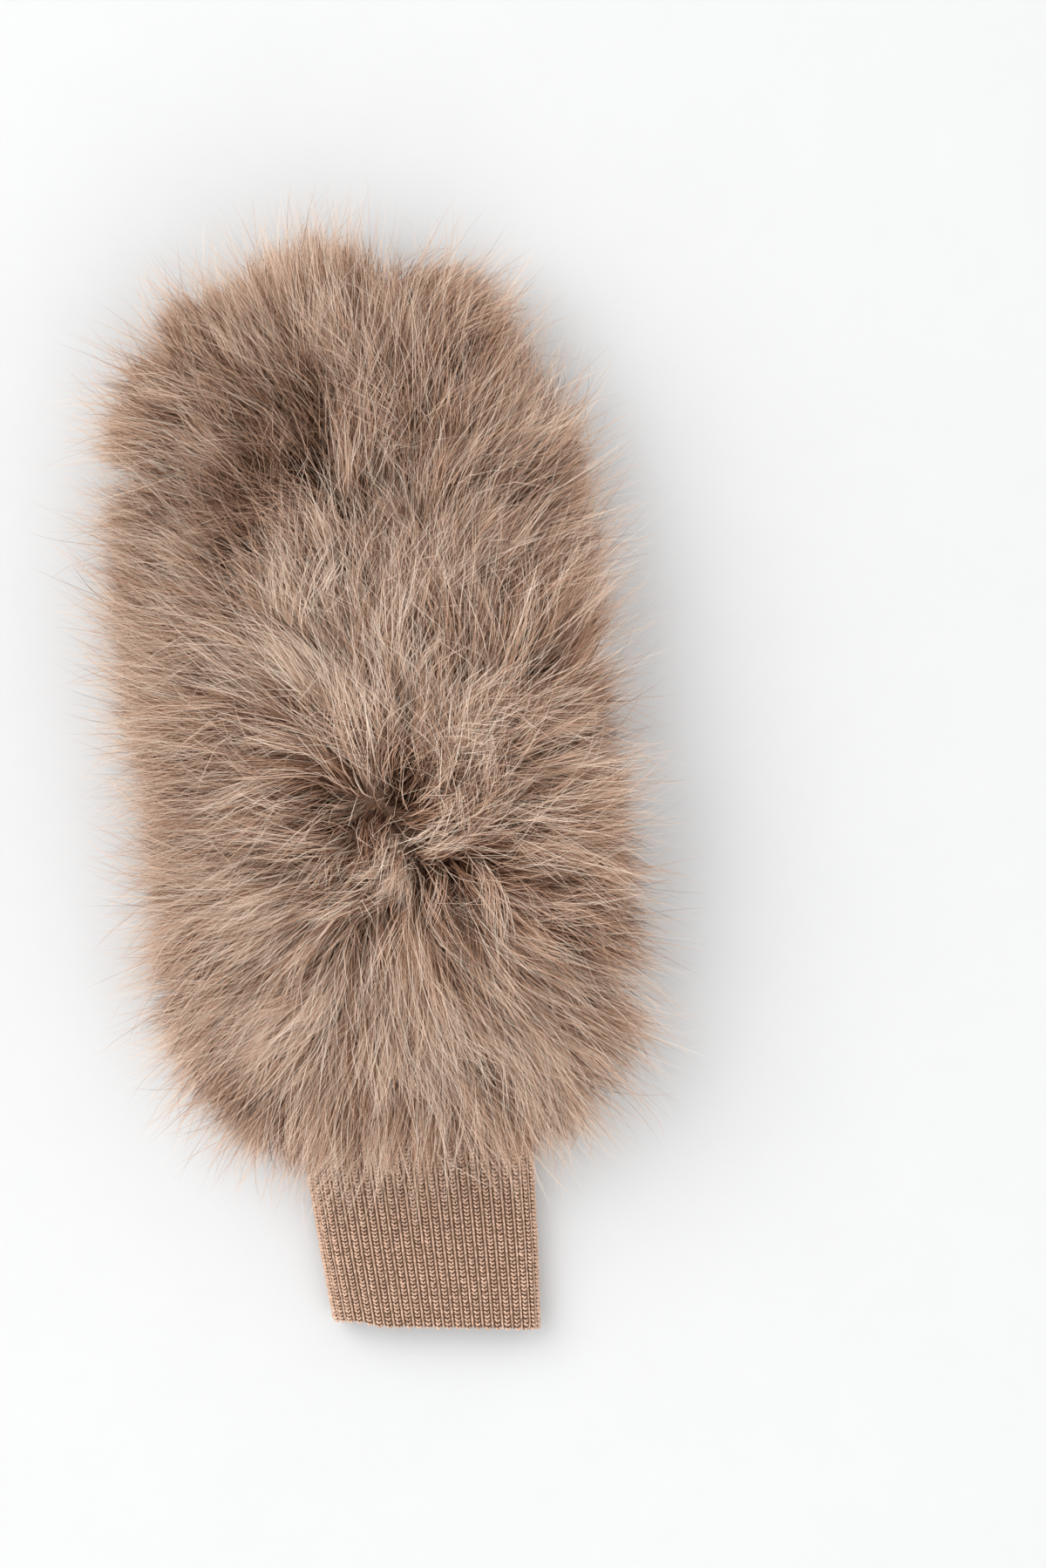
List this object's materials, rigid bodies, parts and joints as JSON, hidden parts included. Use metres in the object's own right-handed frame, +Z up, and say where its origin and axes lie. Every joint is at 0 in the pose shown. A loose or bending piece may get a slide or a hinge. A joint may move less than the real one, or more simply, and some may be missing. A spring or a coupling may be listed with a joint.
{
  "type": "fur mitten",
  "caption": "Left-hand winter mitten lying palm down: deep faux-fur back in locks, thin suede palm with a hollow thumb, and a ribbed knit cuff open at the wrist.",
  "frame": {"origin": "middle of the surface that the mitten lies on, at the bottom centre of its box", "axes": "+Y from the cuff's hem to the fingertips, +X towards the thumb side, +Z up, away from the palm"},
  "size_m": [0.162, 0.318, 0.0508],
  "materials": {
    "fur": "matt, long soft pile with pale tips",
    "suede": "matt suede with a fine mottled grain",
    "rib_knit": "matt rib knit"
  },
  "bodies": {
    "root": {"back_fur_panel": "fur", "palm_panel": "suede", "thumb": "suede", "cuff": "rib_knit"}
  },
  "joints": []
}
